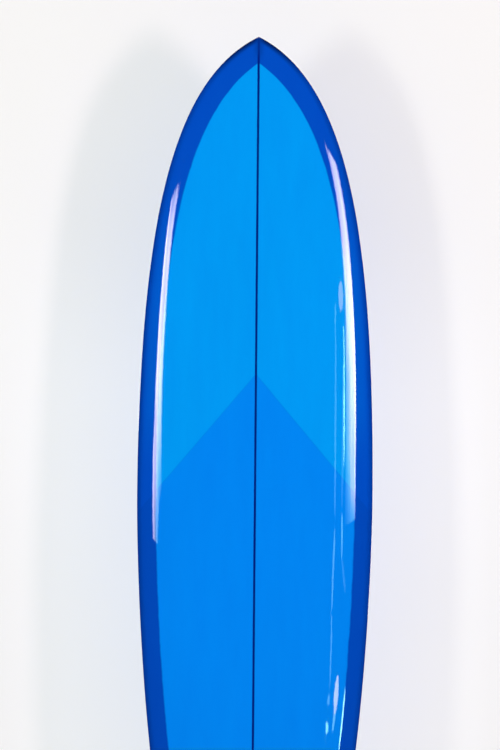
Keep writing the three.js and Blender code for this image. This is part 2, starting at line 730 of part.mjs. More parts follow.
addNode('deck_skin', deckSkinSolid.subtract(bottomPockets).subtract(leashPocket), 'skin');
addNode('bottom_skin', bottomSkinSolid.subtract(bottomPockets), 'skin');
addNode('deck_patch', patchSolid.subtract(leashPocket), 'cloth');
addNode('foam_left', foamLeftSolid.subtract(bottomPockets).subtract(leashPocket), 'foam');
addNode('foam_right', foamRightSolid.subtract(bottomPockets).subtract(leashPocket), 'foam');
addNode('stringer', stringerSolid.subtract(bottomPockets).subtract(leashPocket), 'wood');
addNode('centre_fin_box', centreBoxSolid, 'box');
addNode('centre_fin', centreFinSolid, 'fin');
addNode('centre_fin_pin', centrePinSolid, 'brass');
addNode('centre_fin_plate', centrePlateSolid, 'brass');
addNode('centre_fin_screw', centreScrewSolid, 'steel');
for (const [sideName, side] of [['left', -1], ['right', 1]]) {
  addNode(`side_fin_box_${sideName}`, sideBoxSolid(side), 'box');
  addNode(`side_fin_${sideName}`, sideFinSolid(side), 'fin');
  addNode(`side_fin_screw_${sideName}_front`, grubSolid(side, SIDE_BOX_REACH), 'steel');
  addNode(`side_fin_screw_${sideName}_rear`, grubSolid(side, -SIDE_BOX_REACH), 'steel');
}
addNode('leash_cup', cupSolid(), 'box');
addNode('leash_bar', leashBarSolid, 'steel');

export default group;
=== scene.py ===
"""Looks of the surfboard: smooth tinted laminate, fins, fittings, studio and camera."""
import json
import math

import bmesh
import bpy
import numpy as np
from mathutils import Matrix, Vector


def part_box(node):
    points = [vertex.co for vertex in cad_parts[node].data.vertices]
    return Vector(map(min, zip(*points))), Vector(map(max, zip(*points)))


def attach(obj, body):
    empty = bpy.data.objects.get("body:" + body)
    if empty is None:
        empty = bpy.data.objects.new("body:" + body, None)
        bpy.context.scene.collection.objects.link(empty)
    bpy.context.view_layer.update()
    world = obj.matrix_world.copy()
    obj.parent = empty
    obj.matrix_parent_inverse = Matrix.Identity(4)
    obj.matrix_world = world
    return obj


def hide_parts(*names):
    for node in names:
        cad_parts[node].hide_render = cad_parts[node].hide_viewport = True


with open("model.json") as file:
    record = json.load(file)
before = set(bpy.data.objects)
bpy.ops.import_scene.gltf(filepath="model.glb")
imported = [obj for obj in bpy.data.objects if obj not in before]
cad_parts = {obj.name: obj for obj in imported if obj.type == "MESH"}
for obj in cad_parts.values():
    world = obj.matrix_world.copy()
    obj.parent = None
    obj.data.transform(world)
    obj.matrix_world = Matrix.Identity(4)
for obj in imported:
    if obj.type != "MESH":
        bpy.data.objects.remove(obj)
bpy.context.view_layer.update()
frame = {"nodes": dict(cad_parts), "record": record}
MM = 0.001

# ---- hull, in millimetres: the same driving dimensions as the CAD ---------------------------
LENGTH, WIDTH, THICKNESS = 2235, 546, 70
HALF, HALF_WIDTH = LENGTH / 2, WIDTH / 2
NOSE_LIFT, TAIL_LIFT = 120, 60
NOSE_ROCKER_POWER, TAIL_ROCKER_POWER = 2.5, 2.2
FLAT_SPOT = 42                      # the bottom is level this far either side of half length
WIDE_AT = 60                        # widest point, measured from half length toward the nose
TIP_THICKNESS, TIP_ROUNDING = 14, 8
NOSE_FOIL_POWERS = (2, 0.9)         # thickness toward the nose goes by (1 - run ** first) ** second
TAIL_FOIL_POWERS = (2.2, 0.75)
APEX_SHARE = 0.42                   # height of the rail apex at half length, as a share of the thickness
NOSE_APEX_RISE, TAIL_APEX_DROP = 0.06, 0.08
FLAT_SHARE = 0.66                   # flat part of the bottom at half length, as a share of the half width
NOSE_FLAT_LOSS, TAIL_FLAT_GAIN = 0.1, 0.18
NOSE_ANGLE = math.radians(64.7)
NOSE_HANDLE, NOSE_SIDE_HANDLE = 229, 608
TAIL_HANDLE, TAIL_SIDE_HANDLE = 255, 100
GAP, PLY = 0.3, 0.8
RAIL_LAP, NOSE_LAP = 45, 63         # how far a skin laps round the rail onto the other face
NOSE_LAP_POWER = 6                  # how late the lap widens toward the nose
PATCH_APEX, PATCH_HALF_ANGLE = 764, math.radians(40.2)
DECK_POWER = 2.6
FLAT_COLUMNS, RAIL_COLUMNS, DECK_COLUMNS = 1, 4, 8
COLUMNS = FLAT_COLUMNS + RAIL_COLUMNS + DECK_COLUMNS
CURVE_SAMPLES = 6001
TINY = 1e-6                         # keeps divisions off zero and comparisons off rounding


def bezier(points):
    """Samples of a cubic curve from its four control points."""
    t = np.linspace(0, 1, CURVE_SAMPLES)[:, None]
    a, b, c, d = (np.array(point, float) for point in points)
    return (1 - t) ** 3 * a + 3 * (1 - t) ** 2 * t * b + 3 * (1 - t) * t ** 2 * c + t ** 3 * d


def curve_value(samples, u):
    """Second coordinate of the sampled curve where its first coordinate is u."""
    order = np.argsort(samples[:, 0])
    return np.interp(u, samples[order, 0], samples[order, 1])


NOSE_OUTLINE = bezier([
    (WIDE_AT, HALF_WIDTH),
    (WIDE_AT + NOSE_SIDE_HANDLE, HALF_WIDTH),
    (HALF - NOSE_HANDLE * math.cos(NOSE_ANGLE), NOSE_HANDLE * math.sin(NOSE_ANGLE)),
    (HALF, 0),
])
TAIL_OUTLINE = bezier([
    (WIDE_AT, HALF_WIDTH),
    (WIDE_AT - TAIL_SIDE_HANDLE, HALF_WIDTH),
    (-HALF, TAIL_HANDLE),
    (-HALF, 0),
])


def half_width(z):
    """Half width of the outline."""
    return np.where(z > WIDE_AT, curve_value(NOSE_OUTLINE, z), curve_value(TAIL_OUTLINE, z))


def rocker(z):
    """How far the bottom curves up toward the deck side, away from half length."""
    run = np.clip(np.abs(z) - FLAT_SPOT, 0, None) / (HALF - FLAT_SPOT)
    return np.where(z > 0, NOSE_LIFT * run ** NOSE_ROCKER_POWER, TAIL_LIFT * run ** TAIL_ROCKER_POWER)


def full_thickness(z):
    """Thickness on the centre line, before the tips are rounded."""
    run = np.clip(np.abs(z) / HALF, 0, 1)
    nose, tail = ((1 - run ** along) ** rest for along, rest in (NOSE_FOIL_POWERS, TAIL_FOIL_POWERS))
    return TIP_THICKNESS + (THICKNESS - TIP_THICKNESS) * np.where(z > 0, nose, tail)


def tip_cap(z):
    """Shrinks the thickness to nothing over the last few millimetres, for a rounded tip."""
    left = np.clip(HALF - np.abs(z), 0, TIP_ROUNDING)
    return np.sqrt(1 - (1 - left / TIP_ROUNDING) ** 2)


def apex_share(z):
    """Height of the rail apex above the bottom, as a share of the thickness."""
    return APEX_SHARE + np.where(z > 0, NOSE_APEX_RISE, TAIL_APEX_DROP) * z / HALF


def flat_share(z):
    """Share of the half width over which the bottom is flat."""
    return FLAT_SHARE - np.where(z > 0, NOSE_FLAT_LOSS, TAIL_FLAT_GAIN) * z / HALF


def apex_y(z):
    return -rocker(z) - apex_share(z) * full_thickness(z)


def section(z, column):
    """Points of the right half section; column runs from bottom centre over the rail to deck centre."""
    w = half_width(z)
    t = full_thickness(z) * tip_cap(z)
    under = apex_share(z) * t
    over = t - under
    flat = flat_share(z) * w
    turn = np.clip((column - FLAT_COLUMNS) / RAIL_COLUMNS, 0, 1) * math.pi / 2
    low_x = np.where(column <= FLAT_COLUMNS, flat * column / FLAT_COLUMNS, flat + (w - flat) * np.sin(turn))
    low_y = apex_y(z) + under * np.cos(turn)
    rise = np.clip((COLUMNS - column) / DECK_COLUMNS, 0, 1) * math.pi / 2
    high_x = w * np.sin(rise) ** (2 / DECK_POWER)
    high_y = apex_y(z) - over * np.cos(rise)
    on_deck = column > FLAT_COLUMNS + RAIL_COLUMNS
    return np.stack([np.where(on_deck, high_x, low_x), np.where(on_deck, high_y, low_y), z + 0 * low_x], -1)


def layer(z, column, depth):
    """Section points moved in by depth, square to the surface."""
    points = section(z, column)
    if depth == 0:
        return points
    dz, dc = 0.05, 0.02
    along = section(z + dz, column) - section(z - dz, column)
    across = section(z, np.minimum(column + dc, COLUMNS)) - section(z, np.maximum(column - dc, 0))
    out = np.cross(along, across)
    centre = (column <= 0) | (column >= COLUMNS)
    out[..., 0] = np.where(centre, 0, out[..., 0])
    out /= np.linalg.norm(out, axis=-1, keepdims=True) + 1e-12
    return points - depth * out


def slant(z):
    """Length of the outline at z per unit of length of the board."""
    return np.sqrt(1 + ((half_width(z + 1) - half_width(z - 1)) / 2) ** 2)


def lap_half_width(z):
    """Half width inside the lap band, negative where both laps have met."""
    lap = RAIL_LAP + (NOSE_LAP - RAIL_LAP) * np.clip(z / HALF, 0, None) ** NOSE_LAP_POWER
    return half_width(z) - lap * slant(z)


def lap_end(sign):
    """Where the lap line meets the centre line, at the nose (+1) or the tail (-1)."""
    inside, outside = 0.0, HALF - 2
    for _ in range(40):
        middle = (inside + outside) / 2
        if lap_half_width(np.array(sign * middle)) > 0:
            inside = middle
        else:
            outside = middle
    return sign * (inside + outside) / 2


LAP_NOSE, LAP_TAIL = lap_end(1), lap_end(-1)


def column_at(z, x):
    """Column of the bottom point at distance x from the centre line."""
    w = half_width(z)
    flat = flat_share(z) * w
    share = np.clip((x - flat) / np.maximum(w - flat, TINY), 0, 1)
    on_rail = FLAT_COLUMNS + RAIL_COLUMNS * np.arcsin(share) * 2 / math.pi
    return np.where(x <= flat, FLAT_COLUMNS * x / np.maximum(flat, TINY), on_rail)


# ---- meshes ---------------------------------------------------------------------------------
COLLECTION = bpy.context.scene.collection
SMOOTH_ANGLE = math.radians(38)
WELD, SLIVER = 2e-6, 1e-7           # metres: points closer than these are joined
DECK_GRID, BOTTOM_GRID = 50, 24     # points across each half of a skin
FIRST_ROW, ROW_GROWTH, LONGEST_ROW = 0.12, 1.22, 11.0   # spacing of rows along a skin, in millimetres
CLOSEST_ROWS = 0.02


def new_object(name, vertices, faces):
    """Object from millimetre vertices, welded and with its normals facing out."""
    mesh = bpy.data.meshes.new(name)
    mesh.from_pydata([tuple(v) for v in np.asarray(vertices) * MM], [], faces)
    work = bmesh.new()
    work.from_mesh(mesh)
    bmesh.ops.remove_doubles(work, verts=work.verts, dist=WELD)
    bmesh.ops.dissolve_degenerate(work, edges=work.edges, dist=SLIVER)
    bmesh.ops.recalc_face_normals(work, faces=work.faces)
    work.to_mesh(mesh)
    work.free()
    made = bpy.data.objects.new(name, mesh)
    COLLECTION.objects.link(made)
    return made


def smooth(piece):
    """Smooth shading, broken at real edges."""
    piece.data.shade_smooth()
    piece.data.set_sharp_from_angle(angle=SMOOTH_ANGLE)


def combine(piece, others, operation):
    """Cuts or joins other objects into the piece, then removes them."""
    for other in others:
        step = piece.modifiers.new("step", "BOOLEAN")
        step.object, step.operation, step.solver = other, operation, "EXACT"
        bpy.context.view_layer.update()
        cut = bpy.data.meshes.new_from_object(piece.evaluated_get(bpy.context.evaluated_depsgraph_get()))
        piece.modifiers.clear()
        piece.data = cut
        bpy.data.objects.remove(other)
    return piece


def sheet(name, outer, inner, open_rows):
    """Closed thin sheet from two point grids; open_rows says where the side edges are open."""
    rows, count = outer.shape[:2]
    vertices = np.concatenate([outer.reshape(-1, 3), inner.reshape(-1, 3)])
    half = rows * count
    faces = []
    for r in range(rows - 1):
        for c in range(count - 1):
            a = r * count + c
            faces.append((a, a + 1, a + 1 + count, a + count))
            b = a + half
            faces.append((b, b + count, b + count + 1, b + 1))
        if open_rows[r] or open_rows[r + 1]:
            for c in (0, count - 1):
                a = r * count + c
                faces.append((a, a + count, a + count + half, a + half))
    return new_object(name, vertices, faces)


def stations(low, high):
    """Distances along the board, closer and closer together toward both ends."""
    from_end, step = [0], FIRST_ROW
    while step < LONGEST_ROW:
        from_end.append(from_end[-1] + step)
        step *= ROW_GROWTH
    start = [low + distance for distance in from_end]
    end = [high - distance for distance in from_end[::-1]]
    middle = np.linspace(start[-1], end[0], int((end[0] - start[-1]) / LONGEST_ROW) + 2)[1:-1]
    return np.array(start + list(middle) + end)


def mirrored(right):
    """Full width grid from the right half, whose last column is the centre line."""
    left = right[:, :-1].copy()
    left[..., 0] *= -1
    return np.concatenate([left, right[:, ::-1]], axis=1)


def hull_grid(z, columns, depth):
    """Points of the hull at a depth, for rows at z and columns counted to the deck centre."""
    right = layer(z[:, None] + 0 * columns, columns, depth)
    right[:, -1, 0] = 0
    return mirrored(right)


def deck_shell():
    """Outer skin: over the deck, round the rails and onto the bottom up to the lap line."""
    z = np.unique(np.concatenate([stations(-HALF, HALF)[1:-1], [LAP_TAIL, LAP_NOSE]]))
    z = z[np.concatenate([[True], np.diff(z) > CLOSEST_ROWS])]
    open_rows = (z > LAP_TAIL + TINY) & (z < LAP_NOSE - TINY)
    reach = np.where(open_rows, np.maximum(lap_half_width(z), 0), 0)
    start = column_at(z, reach)
    share = np.linspace(0, 1, DECK_GRID)
    columns = start[:, None] + (COLUMNS - start)[:, None] * share[None, :]
    grids = []
    for depth in (0, PLY):
        grid = hull_grid(z, columns, depth)
        grid[~open_rows, 0, 0] = 0
        grid[~open_rows, -1, 0] = 0
        tail = np.array([0, apex_y(np.array(-HALF)), -HALF + depth])
        nose = np.array([0, apex_y(np.array(HALF)), HALF - depth / math.sin(NOSE_ANGLE)])
        count = grid.shape[1]
        grids.append(np.concatenate([np.tile(tail, (1, count, 1)), grid, np.tile(nose, (1, count, 1))]))
    return sheet("deck_laminate", *grids, np.concatenate([[False], open_rows, [False]]))


def bottom_shell():
    """Bottom skin inside the lap line."""
    z = stations(LAP_TAIL + GAP, LAP_NOSE - GAP)
    inside = (z > z[0]) & (z < z[-1])
    reach = np.where(inside, np.maximum(lap_half_width(z) - GAP, 0), 0)
    share = np.linspace(1, 0, BOTTOM_GRID)
    columns = column_at(z[:, None] + 0 * share, reach[:, None] * share[None, :])
    return sheet("bottom_laminate", hull_grid(z, columns, 0), hull_grid(z, columns, PLY), inside)


# ---- places on the hull ---------------------------------------------------------------------
def bottom_place(x, z, toe=0.0):
    """Local frame on the bottom: x across, y out of the bottom, z toward the nose."""
    slope = float(rocker(np.array(z - 1.0)) - rocker(np.array(z + 1.0))) / 2
    out = Vector((0, 1, -slope)).normalized()
    forward = Matrix.Rotation(toe, 3, out) @ Vector((0, slope, 1)).normalized()
    across = out.cross(forward)
    place = Matrix((across, out, forward)).transposed().to_4x4()
    place.translation = Vector((x, -float(rocker(np.array(float(z)))), z))
    return place


BOX_LENGTH, BOX_WIDTH, BOX_FROM_TAIL = 267, 26, 114
SIDE_FROM_TAIL, SIDE_IN, SIDE_TOE, SIDE_CANT = 372, 46, math.radians(3), math.radians(6)
SIDE_REACH, SIDE_DISC, SIDE_BAR = 32, 13.5, 7      # side fin box: two discs joined by a bar
CENTRE_PLACE = bottom_place(0, -HALF + BOX_FROM_TAIL + BOX_LENGTH / 2)
SIDE_Z = -HALF + SIDE_FROM_TAIL
SIDE_X = float(half_width(np.array(SIDE_Z))) - SIDE_IN
SKIN_CUT = 12                       # how far a cutter reaches either side of the surface
CUP_RADIUS = 14
CUP_OUTWARD = Vector((0.02, -1, -0.12)).normalized()    # square to the deck at the leash cup
CUP_CUT_FROM, CUP_CUT_TO = -4, 14   # reach of its cutter, measured outward from the leash bar
DISC_POINTS, TUBE_POINTS, HALF_ROUND_POINTS = 64, 32, 24


def side_place(side):
    """Local frame of the side fin box on the right (1) or the left (-1)."""
    return bottom_place(side * SIDE_X, SIDE_Z, -side * SIDE_TOE)


def prism(name, outline, bottom, top, place):
    """Upright prism over an outline of (x, z) points in a local frame."""
    count = len(outline)
    vertices = [place @ Vector((x, y, z)) for y in (bottom, top) for x, z in outline]
    faces = [tuple(range(count)), tuple(range(2 * count - 1, count - 1, -1))]
    faces += [(i, (i + 1) % count, (i + 1) % count + count, i + count) for i in range(count)]
    return new_object(name, [tuple(v) for v in vertices], faces)


def rounded_outline(length, width):
    """Long outline along z with half round ends."""
    radius, reach = width / 2, (length - width) / 2
    turns = np.linspace(0, math.pi, HALF_ROUND_POINTS)
    top = [(radius * math.cos(a), reach + radius * math.sin(a)) for a in turns]
    low = [(-radius * math.cos(a), -reach - radius * math.sin(a)) for a in turns]
    return top + low


def disc_outline(radius, along=0, points=DISC_POINTS):
    """Circle about a point on the local z axis."""
    turns = np.linspace(0, 2 * math.pi, points, endpoint=False)
    return [(radius * math.cos(a), along + radius * math.sin(a)) for a in turns]


def side_cutters(side):
    """Cutters for the opening round a side fin box."""
    place = side_place(side)
    radius, bar = SIDE_DISC + GAP, SIDE_BAR + GAP
    made = [
        prism("cut", disc_outline(radius, along), -SKIN_CUT, SKIN_CUT, place)
        for along in (-SIDE_REACH, SIDE_REACH)
    ]
    rim = [(-bar, -SIDE_REACH), (bar, -SIDE_REACH), (bar, SIDE_REACH), (-bar, SIDE_REACH)]
    return made + [prism("cut", rim, -SKIN_CUT, SKIN_CUT, place)]


def centre_cutter():
    """Cutter for the opening round the centre fin box."""
    outline = rounded_outline(BOX_LENGTH + 2 * GAP, BOX_WIDTH + 2 * GAP)
    return prism("cut", outline, -SKIN_CUT, SKIN_CUT, CENTRE_PLACE)


def leash_cutter():
    """Round cutter for the deck skin, centred on the leash bar."""
    low, high = (Vector(corner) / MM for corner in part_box("leash_bar"))
    along = Vector((1, 0, 0)).cross(CUP_OUTWARD).normalized()
    across = CUP_OUTWARD.cross(along).normalized()
    place = Matrix((across, CUP_OUTWARD, along)).transposed().to_4x4()
    place.translation = (low + high) / 2
    return prism("cut", disc_outline(CUP_RADIUS + GAP), CUP_CUT_FROM, CUP_CUT_TO, place)


# ---- fins -----------------------------------------------------------------------------------
FIN_LIFT = 0.8                      # clearance between the foot of a fin and the hull
JOIN = 0.6                          # how far joined blocks run into one another
TIP_CHORD_SHARE = 0.35              # thickness kept where the chord has shrunk to nothing
TIP_THINNING = 0.35                 # thickness lost from foot to tip besides that
BLADE_RINGS, RING_POINTS = 60, 26
TIP_CROWDING = 1.6                  # above 1, the rings of a blade stand closer together at its tip
BLOCK_BEVEL = 0.5
FIN_DEPTH = 203
FIN_TAB_HALF, FIN_TAB_BOTTOM, FIN_TAB_REAR, FIN_TAB_FRONT = 4.9, -17.4, -70, 58
TONGUE_BOTTOM, TONGUE_TOP, TONGUE_REAR, TONGUE_FRONT = -5, -1.6, 55, 84
PIN_AT, PIN_HEIGHT, PIN_RADIUS = -56, -11.2, 2.5
SCREW_AT, SCREW_RADIUS = 73, 2
SIDE_DEPTH = 88
TAB_HALF, TAB_LENGTH, TAB_DEPTH, TAB_TOP = 3, 20, 12.5, 1.3


def foil(share):
    """Thickness along the chord, as a share of the largest; round in front, thin behind."""
    return 1.5 * np.sqrt(share) * (1 - share) + 0.42 * share * (1 - share)


def blade(name, leading, trailing, thickness, edge, inside, lean, place, mirror=1):
    """Foiled blade in a local frame: x across, y out of the bottom, z toward the nose."""
    front, back = bezier(leading), bezier(trailing)
    tip_height = leading[3][0]
    rise = np.linspace(0, 1, BLADE_RINGS)[:-1]
    heights = FIN_LIFT + (tip_height - FIN_LIFT) * (1 - (1 - rise) ** TIP_CROWDING)
    shares = np.sin(np.linspace(0, math.pi / 2, RING_POINTS)) ** 2
    nose_edge, tail_edge = curve_value(front, heights), curve_value(back, heights)
    chord = nose_edge - tail_edge
    kept = TIP_CHORD_SHARE + (1 - TIP_CHORD_SHARE) * chord / chord[0]
    full = thickness * kept * (1 - TIP_THINNING * heights / tip_height)
    rings = []
    for height, start, length, thick in zip(heights, nose_edge, chord, full):
        half = thick * foil(shares) / 2 + edge * shares / 2
        shift = height * math.tan(lean)
        outside = [(mirror * (h + shift), height, start - s * length) for s, h in zip(shares, half)]
        within = [(mirror * (shift - h * inside), height, start - s * length) for s, h in zip(shares, half)]
        rings.append(outside + within[:0:-1])
    count = len(rings[0])
    tip = (mirror * tip_height * math.tan(lean), tip_height, leading[3][1])
    vertices = [place @ Vector(v) for ring in rings for v in ring] + [place @ Vector(tip)]
    faces = [tuple(range(count))[::-1]]
    for r in range(len(rings) - 1):
        for c in range(count):
            a, b = r * count + c, r * count + (c + 1) % count
            faces.append((a, b, b + count, a + count))
    top = (len(rings) - 1) * count
    faces += [(top + c, top + (c + 1) % count, len(vertices) - 1) for c in range(count)]
    return new_object(name, [tuple(v) for v in vertices], faces)


def block(name, x, y, z, place):
    """Box over ranges of a local frame, with its edges eased."""
    corners = [(x[0], z[0]), (x[1], z[0]), (x[1], z[1]), (x[0], z[1])]
    made = prism(name, corners, y[0], y[1], place)
    work = bmesh.new()
    work.from_mesh(made.data)
    bmesh.ops.bevel(work, geom=work.edges[:], offset=BLOCK_BEVEL * MM, segments=2, affect="EDGES")
    work.to_mesh(made.data)
    work.free()
    return made


def tube_cut(radius, start, end, place):
    """Round cutter between two points of a local frame."""
    a, b = place @ Vector(start), place @ Vector(end)
    axis = (b - a).normalized()
    turn = axis.to_track_quat("Y", "Z").to_matrix().to_4x4()
    turn.translation = (a + b) / 2
    reach = (b - a).length / 2
    return prism("cut", disc_outline(radius, points=TUBE_POINTS), -reach, reach, turn)


def centre_fin():
    """Centre fin with the tab and tongue that stand in its box, and their holes."""
    made = blade(
        "centre_fin_blade",
        leading=[(FIN_LIFT, 64), (96, 58), (FIN_DEPTH, -18), (FIN_DEPTH, -96)],
        trailing=[(FIN_LIFT, -74), (58, -38), (176, -112), (FIN_DEPTH, -96)],
        thickness=9.6, edge=1.2, inside=1, lean=0, place=CENTRE_PLACE,
    )
    wide = (-FIN_TAB_HALF, FIN_TAB_HALF)
    tab = block("tab", wide, (FIN_TAB_BOTTOM, FIN_LIFT + JOIN), (FIN_TAB_REAR, FIN_TAB_FRONT), CENTRE_PLACE)
    tongue = block("tongue", wide, (TONGUE_BOTTOM, TONGUE_TOP), (TONGUE_REAR, TONGUE_FRONT), CENTRE_PLACE)
    combine(made, [tab, tongue], "UNION")
    ends = [(x, PIN_HEIGHT, PIN_AT) for x in (-SKIN_CUT, SKIN_CUT)]
    pin_hole = tube_cut(PIN_RADIUS + GAP, *ends, CENTRE_PLACE)
    ends = [(0, y, SCREW_AT) for y in (-2 * SKIN_CUT, SKIN_CUT)]
    screw_hole = tube_cut(SCREW_RADIUS + GAP, *ends, CENTRE_PLACE)
    return combine(made, [pin_hole, screw_hole], "DIFFERENCE")


def side_fin(name, side):
    """Side fin with its two tabs; its inside face is flatter than its outside."""
    place = side_place(side)
    made = blade(
        name,
        leading=[(FIN_LIFT, 54), (42, 44), (SIDE_DEPTH, 2), (SIDE_DEPTH, -40)],
        trailing=[(FIN_LIFT, -50), (24, -34), (74, -50), (SIDE_DEPTH, -40)],
        thickness=7, edge=1, inside=0.35, lean=SIDE_CANT, place=place, mirror=side,
    )
    tabs = []
    for middle in (-SIDE_REACH, SIDE_REACH):
        along = (middle - TAB_LENGTH / 2, middle + TAB_LENGTH / 2)
        tabs.append(block("tab", (-TAB_HALF, TAB_HALF), (-TAB_DEPTH, TAB_TOP), along, place))
    return combine(made, tabs, "UNION")


# ---- shader graphs --------------------------------------------------------------------------
def srgb(red, green, blue):
    """Linear colour from display values of 0 to 255."""
    def linear(value):
        share = value / 255
        return share / 12.92 if share <= 0.04045 else ((share + 0.055) / 1.055) ** 2.4
    return (linear(red), linear(green), linear(blue), 1.0)


class Graph:
    """Small helper that fills one node tree."""

    def __init__(self, tree):
        self.tree = tree
        self.tree.nodes.clear()

    def node(self, kind, inputs=None, **settings):
        made = self.tree.nodes.new(kind)
        for key, value in settings.items():
            setattr(made, key, value)
        for key, value in (inputs or {}).items():
            if isinstance(value, bpy.types.NodeSocket):
                self.tree.links.new(value, made.inputs[key])
            else:
                made.inputs[key].default_value = value
        return made

    def math(self, operation, first, second=0.0, third=0.0):
        inputs = {0: first, 1: second, 2: third}
        return self.node("ShaderNodeMath", inputs, operation=operation).outputs[0]

    def step(self, value, low, high, start=0.0, end=1.0):
        """Smooth ramp from start to end as value goes from low to high."""
        inputs = {"Value": value, "From Min": low, "From Max": high, "To Min": start, "To Max": end}
        made = self.node("ShaderNodeMapRange", inputs, interpolation_type="SMOOTHSTEP")
        return made.outputs[0]

    def mix(self, factor, first, second, blend="MIX"):
        inputs = {0: factor, 6: first, 7: second}
        return self.node("ShaderNodeMix", inputs, data_type="RGBA", blend_type=blend).outputs[2]

    def attribute(self, name):
        return self.node("ShaderNodeAttribute", attribute_name=name).outputs["Fac"]

    def curve(self, value, points):
        """Value run through straight lines between the points, which span 0 to 1."""
        made = self.node("ShaderNodeFloatCurve", {1: value})
        line = made.mapping.curves[0]
        line.points[0].location, line.points[-1].location = points[0], points[-1]
        for point in points[1:-1]:
            line.points.new(*point)
        for point in line.points:
            point.handle_type = "VECTOR"
        made.mapping.update()
        return made.outputs[0]

    def scaled(self, vector, scale, rotation=(0, 0, 0)):
        return self.node("ShaderNodeMapping", {0: vector, 2: rotation, 3: scale}).outputs[0]

    def place(self, scale=(1, 1, 1), rotation=(0, 0, 0)):
        """Object coordinates in metres, scaled."""
        return self.scaled(self.node("ShaderNodeTexCoord").outputs["Object"], scale, rotation)

    def noise(self, place, scale, detail=3.0, roughness=0.5, distortion=0.0):
        inputs = {"Vector": place, "Scale": scale, "Detail": detail, "Roughness": roughness}
        inputs["Distortion"] = distortion
        return self.node("ShaderNodeTexNoise", inputs).outputs["Fac"]

    def wave(self, place, scale, distortion=0.0, detail=0.0, direction="X"):
        inputs = {"Vector": place, "Scale": scale, "Distortion": distortion, "Detail": detail}
        made = self.node("ShaderNodeTexWave", inputs, bands_direction=direction)
        return made.outputs["Fac"]

    def bump(self, height, distance, strength=1.0, normal=None):
        inputs = {"Height": height, "Distance": distance, "Strength": strength}
        if normal is not None:
            inputs["Normal"] = normal
        return self.node("ShaderNodeBump", inputs).outputs[0]


class Look(Graph):
    """One procedural material."""

    def __init__(self, name):
        self.material = bpy.data.materials.new(name)
        self.material.use_nodes = True
        super().__init__(self.material.node_tree)
        self.output = self.node("ShaderNodeOutputMaterial")

    def principled(self, **inputs):
        made = self.node("ShaderNodeBsdfPrincipled", {k.replace("_", " "): v for k, v in inputs.items()})
        self.tree.links.new(made.outputs[0], self.output.inputs["Surface"])
        return self.material


# ---- laminate -------------------------------------------------------------------------------
DECK_BLUE = srgb(0, 153, 247)
PATCH_BLUE = srgb(0, 134, 246)
LAP_BLUE = srgb(0, 77, 198)
LAP_OVER_PATCH = srgb(0, 73, 189)
LAP_THIN = srgb(0, 90, 207)
# RAIL_BLUE gives the painted shade toward the outline, and also colours the resin bead and the cloth overlap
RAIL_BLUE = srgb(0, 58, 158)
STRINGER_BLUE = srgb(0, 27, 126)
# painted shade for the outline at the nose tip
NOSE_EDGE_SHADE_BLUE = srgb(0, 26, 84)


def weave(g, pitch, across="X"):
    """Faint plain weave of glass cloth lying along Z and another axis, as a value from 0 to 1.

    pitch is in metres; at a scale of 1 the bands of a wave node stand pi / 10 apart.
    """
    place = g.place()
    turns = math.pi / 10 / pitch
    warp = g.wave(place, turns, 0.6, 2.0, across)
    weft = g.wave(place, turns, 0.6, 2.0, "Z")
    return g.math("MULTIPLY", warp, weft)


def gloss(g, colour):
    """Polished clear resin over a colour: slow ripples, finer ones toward the tail, buffing haze."""
    ripple = g.noise(g.place((1, 1, 0.35)), 7.0, 2.0)
    fine = g.noise(g.place((1, 1, 0.5)), 50.0, 2.0)
    height = g.node("ShaderNodeSeparateXYZ", {0: g.place()}).outputs[2]
    fine = g.math("MULTIPLY", fine, g.step(height, -0.3, 0.0, 1.0, 0.15))
    surface = g.bump(ripple, 0.0010, 0.35)
    surface = g.bump(fine, 0.00018, 0.3, surface)
    haze = g.noise(g.place((1, 1, 0.6)), 11.0, 5.0, 0.7)
    scratches = g.noise(g.place((240, 240, 9), (0, 0.5, 0)), 3.0, 2.0, 0.6)
    rough = g.step(haze, 0.3, 0.75, 0.012, 0.03)
    rough = g.math("ADD", rough, g.step(scratches, 0.66, 0.78, 0.0, 0.02))
    return g.principled(
        Base_Color=colour, Roughness=0.5, IOR=1.45, Specular_IOR_Level=0.0,
        Coat_Weight=1.0, Coat_Roughness=rough, Coat_IOR=1.5,
        Coat_Normal=surface, Normal=surface,
    )


def tint(g, colour, amount):
    """Uneven tint: slow clouds of deeper resin, streaks from the squeegee, and a trace of cloth.

    The streaks change the green most, because thin resin lets more of it back out.
    """
    clouds = g.noise(g.place((1, 1, 0.5)), 4.5, 4.0, 0.55, 0.4)
    streaks = g.noise(g.place((14, 14, 2.4)), 2.0, 4.0, 0.65)
    cloth = weave(g, 0.0018)
    value = g.math("MULTIPLY_ADD", clouds, 1.1 * amount, 1 - 0.55 * amount)
    value = g.math("MULTIPLY_ADD", g.math("SUBTRACT", cloth, 0.25), 0.25 * amount, value)
    streaks = g.math("SUBTRACT", streaks, 0.5)
    green = g.math("MULTIPLY_ADD", streaks, 2.2 * amount, value)
    blue = g.math("MULTIPLY_ADD", streaks, 0.7 * amount, value)
    shade = g.node("ShaderNodeCombineColor", {0: value, 1: green, 2: blue}).outputs[0]
    return g.mix(1.0, colour, shade, "MULTIPLY")


# in millimetres, like every distance in laminate()
LAP_WANDER, PATCH_WANDER, STRINGER_WANDER = 4.0, 1.2, 0.8   # how far each hand-made edge strays
LAP_THIN_FROM, LAP_THIN_TO = (260.0, 560.0), (800.0, 1000.0)
STRINGER_EDGE = (1.9, 3.2)
TINT_UNEVENNESS = 0.075


